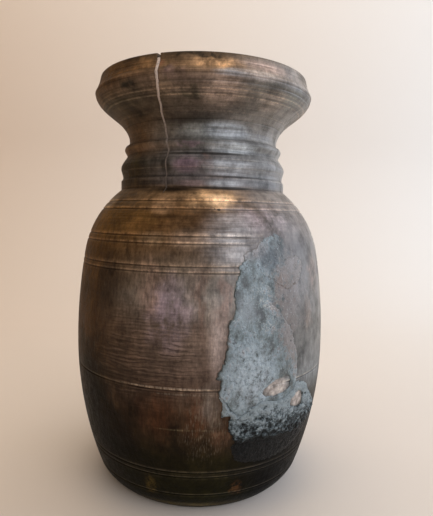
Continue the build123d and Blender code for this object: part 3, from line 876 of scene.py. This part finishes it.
def turned_wood():
    """Dense hardwood, turned and left from the tool, oiled and smoked over a hearth: a satin
    brown skin with upright fibres, level tool lines, soot, and wear where hands go."""
    # its colour also carries painted light: shade on the side turned from the window and low down, window
    # sheen, gold highlights, and shade in cut lines, corners, pits and the split
    finish, shader, place = new_finish(
        "turned_wood_oiled", {"Specular IOR Level": 0.06, "Coat Roughness": 0.3, "Coat IOR": 1.6}
    )
    fibre, flecks, turning, fine_turning, blotch, mottle, hairs = (
        streaks(place, *marks) for marks in wood_marks
    )
    level = add("SeparateXYZ", (place,), out="Z")
    share = add("Math DIVIDE", (level, height))
    waves = {"Vector": place, "Scale": raggedness, "Detail": 4.0}
    warp = add("TexNoise", waves, out="Color", noise_dimensions="3D")
    centred = add("VectorMath SUBTRACT", (warp, (0.5, 0.5, 0.5)))
    ragged_place = add("VectorMath MULTIPLY_ADD", (centred, ragged_reach, place))

    # the tone by height, which goes over from one side's ramp to the next, so that the window's light and
    # shade are painted into the colour
    level_ray = add("VectorMath MULTIPLY", (ragged_place, (1.0, 1.0, 0.0)))
    facing = add("VectorMath NORMALIZE", (level_ray,))
    to_front, to_window = (
        add("VectorMath DOT_PRODUCT", (facing, side), out="Value") for side in (front_side, window_side)
    )
    uneven = add("Math SUBTRACT", (blotch, 0.5))
    creep = product(uneven, patterned(share, *soot_and_shade_creep))
    crept = add("Math ADD", (share, creep))
    far, front, near = (
        add("ValToRGB", (up,), stops=stops)
        for up, stops in ((crept, far_tones), (share, front_tones), (share, window_sheen_tones))
    )
    tone = coats(far, ((patterned(to_front, -0.20, 0.58), front), (patterned(to_window, 0.76, 0.95), near)))

    breaks = {
        "fibre": patterned(fibre, 0.32, 0.62, 1.0, 0.3),
        "flecks": patterned(flecks, 0.38, 0.56),
        "turning": patterned(turning, 0.30, 0.62, 1.0, 0.35),
        "blotch": patterned(blotch, 0.36, 0.54),
        "mottle": patterned(mottle, 0.42, 0.52),
        "plain": 1.0,
    }
    stains_and_light = []
    for *area, strength, colour, broken in stains_and_painted_light:
        mask = area_of(place if broken in steady_breaks else ragged_place, *area)
        stains_and_light.append((product(mask, strength, breaks[broken]), colour))
    colour = coats(tone, stains_and_light)

    # light and dark in the wood: more of the grain above and below, more turning where it chattered
    ridges = chatter_ridges(place, chatter_pitch, shell_seed)
    chattered = patch(place, *oval(*chatter_area))
    high_up = add("MapRange", (level, *turned_shoulder), interpolation_type="SMOOTHSTEP")
    lathe_share = add("Math MAXIMUM", (high_up, chattered))
    grain_share = add("Math MULTIPLY_ADD", (lathe_share, -0.7, 1.0))
    swings = []
    for pattern, swing, where in (
        (fibre, 1.1, grain_share), (flecks, 1.0, grain_share), (turning, 1.4, lathe_share),
        (turning, 0.4, 1.0), (blotch, 2.6, 1.0), (mottle, 2.2, 1.0),
    ):
        off = product(add("Math SUBTRACT", (pattern, 0.5)), where)
        swings.append(add("Math MULTIPLY_ADD", (off, swing, 1.0)))
    colour = add("VectorMath SCALE", {0: colour, "Scale": product(*swings)})

    trough = product(patterned(ridges, 0.3, 1.0), chattered, patterned(blotch, 0.35, 0.6, 0.7))
    ridge_top = product(patterned(ridges, -0.4, -1.0), chattered, patterned(turning, 0.45, 0.6, 0.5))
    pale_threads = product(
        patterned(hairs, 0.54, 0.68, 0.45), patterned(mottle, 0.36, 0.50),
        area_of(ragged_place, *pale_thread_area),
    )
    cut_shade, crest, split = (
        add("Attribute", out="Fac", tree=finish.node_tree, attribute_name=name)
        for name in ("cut_shade", "crest", "split")
    )
    unfilled = add("Math SUBTRACT", (1.0, area_of(place, *levelled_area)))
    worn = patterned(mottle, 0.40, 0.56, 0.95, 0.25)
    paler = add("VectorMath MULTIPLY_ADD", (colour, worn_gain, worn_lift))
    colour = coats(colour, (
        (trough, "#1b1311"),
        (product(ridge_top, 0.6), "#8d7466"),
        (pale_threads, "#7d7260"),
        (product(crest, worn, unfilled), paler),
        # painted shade in the cut lines and in the turning's corners
        (product(cut_shade, 0.45, unfilled), "#0c0906"),
        # painted shade in the split's opening
        (product(split, 0.85), "#120d09"),
    ))

    skin, skin_gloss, skin_mottle, _ = pitch_skin(place)
    covers = []
    for *area, cover in washed_areas:
        soft = add("Math MULTIPLY_ADD", (area_of(ragged_place, *area), cover, -0.5))
        covers.append(patterned(add("Math MULTIPLY_ADD", (mottle, 1.0, soft)), 0.34, 0.52))
    washed = highest(covers)
    bare = highest([area_of(place, *area) for area in bare_areas])
    bare_wood = add("ValToRGB", (mottle,), stops=bare_tones)
    oiled = highest([product(area_of(ragged_place, *area), share) for *area, share in oiled_areas])
    film = add("Math MULTIPLY_ADD", (breaks["blotch"], 0.6, 0.4))
    gloss = patterned(mottle, 0.3, 0.7, 0.62, 0.36)
    fill(shader, {
        "Base Color": coats(colour, ((product(washed, 0.9), skin), (bare, bare_wood))),
        "Coat Weight": product(oiled, film),
        "Roughness": add("Mix", {"Factor": washed, FIRST_VALUE: gloss, SECOND_VALUE: skin_gloss}),
        "Normal": relief((
            (blotch, 1.0), (product(turning, lathe_share), 0.7), (fine_turning, 0.12),
            (product(ridges, chattered), -0.05), (flecks, 0.12), (product(skin_mottle, washed), 0.9),
        )),
    })
    return finish


def smooth_pitch():
    """Tree pitch and soot, smeared on hot and rubbed down by handling: a blue-grey satin skin
    with fine pits, shallow wrinkles, pale scuffs, and brown wood grinning through where thin."""
    # its paler blue-grey and bright specks are painted window sheen and glints
    finish, shader, place = new_finish(
        "pitch_smeared_smooth", {"IOR": 1.5, "Coat Roughness": 0.3, "Coat Weight": 0.7}
    )
    skin, gloss, mottle, heights = pitch_skin(place)
    layer = add("Attribute", out="Fac", tree=finish.node_tree, attribute_name="layer")
    # painted shadow along the sheet's raised left edge, where the layer is thin
    ragged = add("Math MULTIPLY_ADD", (mottle, 2.2, layer))
    left_edge_shadow = product(patterned(ragged, 1.85, 1.5, 0.85), area_of(place, *sheet_left_edge))
    colour = coats(skin, ((left_edge_shadow, "#1f2426"),))
    fill(shader, {"Base Color": colour, "Roughness": gloss, "Normal": relief(heights)})
    return finish


def rough_pitch():
    """The same pitch where it cooled thick with ash in it: black lumps whose tops carry a painted
    highlight, with painted shade in the deep dark hollows between them."""
    finish, shader, place = new_finish("pitch_cooled_rough", {"Specular IOR Level": 0.2})
    cloud = streaks(place, 3.6, 2.6, detail=6.0, rough=0.7)
    grit = streaks(place, 1.3, 1.1, detail=4.0, rough=0.7, seed=2.0)
    layer = add("Attribute", out="Fac", tree=finish.node_tree, attribute_name="layer")
    # the colour follows the lumps: painted highlight on their tops, painted shade in the hollows, and
    # lighter higher up
    lump = add("Math MULTIPLY_ADD", (cloud, 4.2, product(layer, 0.45)))
    top = add("Math MULTIPLY_ADD", (grit, 2.8, lump))
    level = add("SeparateXYZ", (place,), out="Z")
    lit = add("Math ADD", (top, patterned(level, 42.0, 72.0, 1.9)))
    fill(shader, {
        "Base Color": add("ValToRGB", (patterned(lit, 4.16, 5.54),), stops=rough_tones),
        "Roughness": patterned(grit, 0.35, 0.65, 0.6, 0.3),
        "Normal": relief(((cloud, 2.4), (grit, 1.1))),
    })
    return finish


def split_paste():
    """Flour-and-ash paste pressed into the split: chalky pinkish tan, darker low down where
    smoke has reached it."""
    finish, shader, place = new_finish("split_paste_dry", {"IOR": 1.45, "Roughness": 0.8})
    level = add("SeparateXYZ", (place,), out="Z")
    tone = add("ValToRGB", (patterned(level, split_end, height),), stops=paste_tones)
    crumbs = streaks(place, 0.8, 1.6, detail=4.0, rough=0.65)
    colour = coats(tone, ((patterned(crumbs, 0.52, 0.68, 0.7), "#3b2f28"),))
    fill(shader, {"Base Color": colour, "Normal": relief(((crumbs, 0.35),))})
    return finish


def closed_piece(name, vertices, faces, finish, values):
    """A smooth closed shape in the scene, with its finish and the values on its points."""
    mesh = bpy.data.meshes.new(name)
    mesh.from_pydata(vertices, [], faces)
    mesh.materials.append(finish)
    keep_values(mesh, values)
    facing_out(mesh)
    mesh.shade_smooth()
    return placed(name, mesh)


# --- Pitch pieces ---
flat_radius = belly_radius
ragged_step, grid_jitter, rim_gap, root_depth, layer_seed = 0.45, 0.3, 0.4, 0.35, 11
# how far edges are broken: size of the breaks and how far each reaches, coarse and fine
outer_breaks, hole_breaks = ((2.3, 1.0), (0.8, 0.45)), ((2.3, 0.7), (0.8, 0.3))
points_at_once, nearly_none, nearly_level, weld_distance = 2000, 1e-12, 1e-9, 1e-5


def flat_points(places):
    """Azimuths and heights as points on the belly rolled out flat, in mm."""
    return np.array([(radians(azimuth) * flat_radius, level) for azimuth, level in places])


def ragged_loop(corner_points, breaks):
    """A closed outline through the corners, broken into a ragged edge."""
    corner_points = flat_points(corner_points)
    before, after = np.roll(corner_points, 1, axis=0), np.roll(corner_points, -1, axis=0)
    pull = (after - before) / 6
    loop = []
    for here, there, out_pull, in_pull in zip(corner_points, after, pull, np.roll(pull, -1, axis=0)):
        steps = max(2, round(np.hypot(*(there - here)) / ragged_step))
        for t in np.linspace(0, 1, steps, endpoint=False):
            point = (
                here * (1 - t) ** 3 + 3 * (here + out_pull) * t * (1 - t) ** 2
                + 3 * (there - in_pull) * t * t * (1 - t) + there * t ** 3
            )
            for size, reach in breaks:
                shake = noise.noise_vector(Vector((point[0] / size, point[1] / size, size)))
                point = point + np.array((shake.x, shake.y)) * reach
            loop.append(point)
    return np.array(loop)


def inside_of(points, loop, *holes):
    """Which points lie inside a closed loop and outside its holes."""
    here, there = loop, np.roll(loop, -1, axis=0)
    x, y = points[:, :1], points[:, 1:]
    crosses = (here[:, 1] > y) != (there[:, 1] > y)
    rise = np.where(there[:, 1] == here[:, 1], nearly_level, there[:, 1] - here[:, 1])
    left = x < (there[:, 0] - here[:, 0]) * (y - here[:, 1]) / rise + here[:, 0]
    inside = (crosses & left).sum(axis=1) % 2 == 1
    for hole in holes:
        inside &= ~inside_of(points, hole)
    return inside


def distance_to(points, loops):
    """Distance from each point to the nearest loop."""
    best = np.full(len(points), np.inf)
    for loop in loops:
        here, run = loop, np.roll(loop, -1, axis=0) - loop
        for first in range(0, len(points), points_at_once):
            some = slice(first, first + points_at_once)
            from_here = points[some, None, :] - here
            squares = np.maximum((run ** 2).sum(axis=1), nearly_none)
            t = np.clip((from_here * run).sum(axis=2) / squares, 0, 1)
            gap = np.hypot(*np.moveaxis(from_here - t[..., None] * run, 2, 0)).min(axis=1)
            best[some] = np.minimum(best[some], gap)
    return best


def pitch_piece(name, edge, holes, thickness, grid, finish):
    """A closed layer on the belly: a fine grid of points whose thickness is worked out at each."""
    loops = [ragged_loop(edge, outer_breaks)] + [ragged_loop(hole, hole_breaks) for hole in holes]
    (left, low), (right, high) = loops[0].min(axis=0), loops[0].max(axis=0)
    chance = np.random.default_rng(layer_seed)
    across, up = np.meshgrid(np.arange(left, right, grid), np.arange(low, high, grid))
    field = np.stack((across.ravel(), up.ravel()), axis=1)
    field += chance.uniform(-grid_jitter, grid_jitter, field.shape) * grid
    field = field[inside_of(field, *loops)]
    field = field[distance_to(field, loops) > rim_gap * grid]
    points, edges = [Vector(p) for p in field], []
    for loop in loops:
        first, count = len(points), len(loop)
        points += [Vector(p) for p in loop]
        edges += [(first + k, first + (k + 1) % count) for k in range(count)]
    flat, _, triangles, *_ = geometry.delaunay_2d_cdt(points, edges, [], 0, weld_distance)
    flat = np.array([tuple(p) for p in flat])
    kept = inside_of(np.array([flat[list(t)].mean(axis=0) for t in triangles]), *loops)
    triangles = [tuple(t) for t, keep in zip(triangles, kept) if keep]
    used = sorted(set(v for t in triangles for v in t))
    renumber = {old: new for new, old in enumerate(used)}
    triangles = [tuple(renumber[v] for v in t) for t in triangles]
    flat = flat[used]
    azimuth, level = flat[:, 0] / flat_radius, flat[:, 1]
    places = zip(azimuth, level, distance_to(flat, loops))
    layer = np.array([thickness(*place) for place in places])
    vertices = []
    for stand_off in (layer, np.full(len(layer), -root_depth)):
        r = (belly_surface(level) + stand_off) * MM
        vertices += zip(r * np.cos(azimuth), r * np.sin(azimuth), level * MM)
    count = len(flat)
    sides = {(a, b): True for t in triangles for a, b in zip(t, t[1:] + t[:1])}
    rim = [(a, b) for a, b in sides if (b, a) not in sides]
    faces = triangles + [tuple(v + count for v in reversed(t)) for t in triangles]
    faces += [(b, a, a + count, b + count) for a, b in rim]
    return closed_piece(name, vertices, faces, finish, {"layer": np.tile(layer, 2)})


def roughness_at(azimuth, level, size, octaves):
    """Fractal noise from about -1 to 1 at a place on the belly, with lumps of a size in mm."""
    return noise.fractal(Vector((azimuth * flat_radius / size, level / size, size)), 1.0, 2.0, octaves)


def cells_at(azimuth, level, size):
    """1 in the middle of rounded lumps of a size in mm, and 0 where they meet."""
    near, far = noise.voronoi(Vector((azimuth * flat_radius / size, level / size, size)))[0][:2]
    return min(1.0, (far - near) * 1.6)


def rise(value, low, high):
    """0 below low, 1 above high, smooth between them."""
    share = min(1.0, max(0.0, (value - low) / (high - low)))
    return share * share * (3 - 2 * share)


def sheet_thickness(azimuth, level, edge):
    """Thick where it was laid on low down, feathered to nothing at the right and the top."""
    thin_right, thin_top = rise(degrees(azimuth), -70, -50), rise(level, 112, 140)
    feather = 0.7 + 6.0 * max(thin_right, thin_top)
    body = (0.85 - 0.45 * thin_top) * (0.35 + 0.65 * rise(edge, 0, feather))
    wrinkles = 0.16 * roughness_at(azimuth, level, 5.0, 4) + 0.10 * cells_at(azimuth, level, 2.4)
    return min(1.28, max(0.08, body + wrinkles * rise(edge, 0, 1.5)))


def crust_thickness(azimuth, level, edge):
    """Lumps of 2 to 5 mm with hollows between them."""
    lumps = 0.75 * cells_at(azimuth, level, 4.2) + 0.45 * cells_at(azimuth, level, 2.1)
    body = 0.65 + lumps + 0.5 * roughness_at(azimuth, level, 6.0, 5)
    return min(2.38, max(0.15, body * (0.3 + 0.7 * rise(edge, 0, 1.4))))


def skirt_thickness(azimuth, level, edge):
    """The crust's thin run-out towards the foot."""
    lumps = 0.35 * cells_at(azimuth, level, 3.0) + 0.3 * roughness_at(azimuth, level, 4.0, 5)
    return min(0.98, max(0.06, (0.28 + lumps) * (0.25 + 0.75 * rise(edge, 0, 3.0))))


def smear_thickness(azimuth, level, edge):
    """A finger-wide smear, fuller along its middle."""
    return min(0.78, max(0.05, (0.36 + 0.2 * roughness_at(azimuth, level, 4.0, 4)) * rise(edge, 0, 4.5)))


# --- Filler ---
def filler_piece(finish):
    """Paste that follows the split from the outside of the wall to the inside."""
    outside, inside = outside_line(), inside_line()[::-1]
    outer, inner = (side[side[:, 1] > split_end - wall_below] for side in (outside, inside))
    outer = outer[np.argsort(outer[:, 1], kind="stable")]
    turn = radians(split_azimuth)
    across_dir, out_dir = np.array(((-sin(turn), cos(turn)), (cos(turn), sin(turn))))
    shares = np.linspace(-1, 1, paste_columns)
    notch_floor = height - notch_depth
    vertices = []
    for level in np.arange(split_end + paste_start, notch_floor, paste_step):
        wander, width = split_at(height - level)
        outer_radius, inner_radius = (np.interp(level, side[:, 1], side[:, 0]) for side in (outer, inner))
        sunk = paste_sunk + notch_sunk * rise(level, notch_floor - notch_run, notch_floor)
        for is_outer, share in [(True, s) for s in shares] + [(False, s) for s in shares[::-1]]:
            across = wander + share * (width / 2 + paste_overlap)
            if is_outer:
                crumb = noise.fractal(Vector((across / crumb_wide, level / crumb_tall, 0)), 1.0, 2.0, 3)
                crown = paste_crown * (1 - share * share) + paste_crumb * crumb
                radius = outer_radius - sunk + crown
            else:
                radius = inner_radius + paste_inside
            reach = sqrt(radius ** 2 - across ** 2)
            place = (*(across_dir * across + out_dir * reach), level)
            vertices.append([c * MM for c in place])
    count = 2 * paste_columns
    top = len(vertices) - count
    faces = []
    for ring in range(0, top, count):
        for a, b in [(ring + k, ring + (k + 1) % count) for k in range(count)]:
            faces.append((a, b, b + count, a + count))
    for base in (0, top):
        for k in range(paste_columns - 1):
            faces.append((base + k, base + k + 1, base + count - 2 - k, base + count - 1 - k))
    return closed_piece("split_filler_paste", vertices, faces, finish, {})


# --- Making the pieces ---
wood, pitch, crust_pitch, paste = turned_wood(), smooth_pitch(), rough_pitch(), split_paste()

vessel, rows = outline_piece()
values = {name: value for name, (_, value) in shell_sizes.items()}
grown(vessel, turned_shell_tree(), {**values, "Rows": rows, "Finish": wood})
facing_out(vessel.data)

filler = filler_piece(paste)
# name, outline, holes, thickness, grid, finish
sheet, crust, skirt, smear = (pitch_piece(*facts) for facts in (
    (
        "pitch_sheet_layer", sheet_left + sheet_foot + sheet_right, (chip_in_sheet,),
        sheet_thickness, 0.8, pitch,
    ),
    (
        "pitch_crust_layer", crust_left + sheet_foot + crust_right + crust_foot, (chip_in_crust,),
        crust_thickness, 0.6, crust_pitch,
    ),
    ("pitch_skirt_layer", skirt_foot + crust_foot, (), skirt_thickness, 0.7, crust_pitch),
    ("pitch_smear_layer", smear_edge, (), smear_thickness, 0.8, pitch),
))

for piece, node, slot in (
    (vessel, "turned_vessel", "turned_wood"),
    (filler, "split_filler", "split_filler"),
    (sheet, "pitch_sheet", "pitch_smooth"),
    (crust, "pitch_crust", "pitch_rough"),
    (skirt, "pitch_skirt", "pitch_rough"),
    (smear, "pitch_smear", "pitch_smooth"),
):
    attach(piece, "root")
    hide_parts(node)


# --- Floor, light and camera ---
def sweep_floor():
    """A pale floor that curves up into a pale wall. Its sizes are in metres."""
    front, back, bend, top, half_wide = -1.6, 0.75, 0.35, 2.2, 2.4
    turns = np.linspace(0, pi / 2, 16)
    section = [(back - bend + bend * sin(turn), bend - bend * cos(turn)) for turn in turns]
    section = [(front, 0.0), *section, (back, top)]
    vertices = [(side * half_wide, y, z) for y, z in section for side in (-1, 1)]
    faces = [(2 * k, 2 * k + 1, 2 * k + 3, 2 * k + 2) for k in range(len(section) - 1)]
    mesh = bpy.data.meshes.new("floor_sweep")
    mesh.from_pydata(vertices, [], faces)
    mesh.shade_smooth()
    paper, shader, place = new_finish("studio_paper_matte", {"Roughness": 0.9})
    side = patterned(add("SeparateXYZ", (place,), out="X"), -700.0, 500.0)
    fill(shader, {"Base Color": coats(hex_colour("#dcc7b2"), ((side, "#e3e1de"),))})
    mesh.materials.append(paper)
    return placed("floor_sweep", mesh)


sweep_floor()


def softbox(name, azimuth, elevation, distance, wide, tall, power, tint):
    """A soft lamp that looks at the middle of the pot from a distance in metres."""
    lamp = bpy.data.lights.new(name, "AREA")
    lamp.shape, lamp.size, lamp.size_y = "RECTANGLE", wide, tall
    lamp.energy, lamp.color = power, hex_colour(tint)[:3]
    holder = placed(name, lamp)
    turn, lift = radians(azimuth), radians(elevation)
    ray = Vector((cos(turn) * cos(lift), sin(turn) * cos(lift), sin(lift)))
    holder.location = Vector((0, 0, height / 2 * MM)) + ray * distance
    holder.rotation_euler = ray.to_track_quat("Z", "Y").to_euler()
    return holder


softbox("window_softbox", -50, 18, 1.4, 1.3, 1.3, 12.5, "#eef3ff")
softbox("side_softbox", 8, 18, 1.4, 1.3, 1.3, 10.5, "#eaf1ff")
softbox("warm_softbox", -160, 24, 1.4, 0.9, 0.9, 1.5, "#ffdcae")
softbox("top_softbox", -85, 84, 1.1, 0.6, 0.6, 3.0, "#ffe2b8")
wall_lamp = softbox("wall_softbox", 90, 75, 1.5, 2.0, 0.5, 12.0, "#ffffff")
wall_lamp.rotation_euler = (radians(62), 0, 0)  # it lights the wall instead

world = bpy.data.worlds.new("studio_world")
world.use_nodes = True
fill(world.node_tree.nodes["Background"], {"Color": hex_colour("#f6ecdf"), "Strength": 0.25})
bpy.context.scene.world = world

camera_place = (0.0104, -0.32605, 0.17325)
camera_tilt, camera_roll = 85.05, 1.0221
lens = bpy.data.cameras.new("camera")
lens.lens, lens.sensor_width, lens.sensor_fit = 32.76, 36.0, "AUTO"
lens.clip_start, lens.clip_end = 0.01, 20.0
camera = placed("camera", lens)
camera.matrix_world = (
    Matrix.Translation(camera_place)
    @ Matrix.Rotation(radians(camera_tilt), 4, "X")
    @ Matrix.Rotation(radians(camera_roll), 4, "Z")
)
bpy.context.scene.camera = camera
bpy.context.scene.view_settings.view_transform = "Standard"
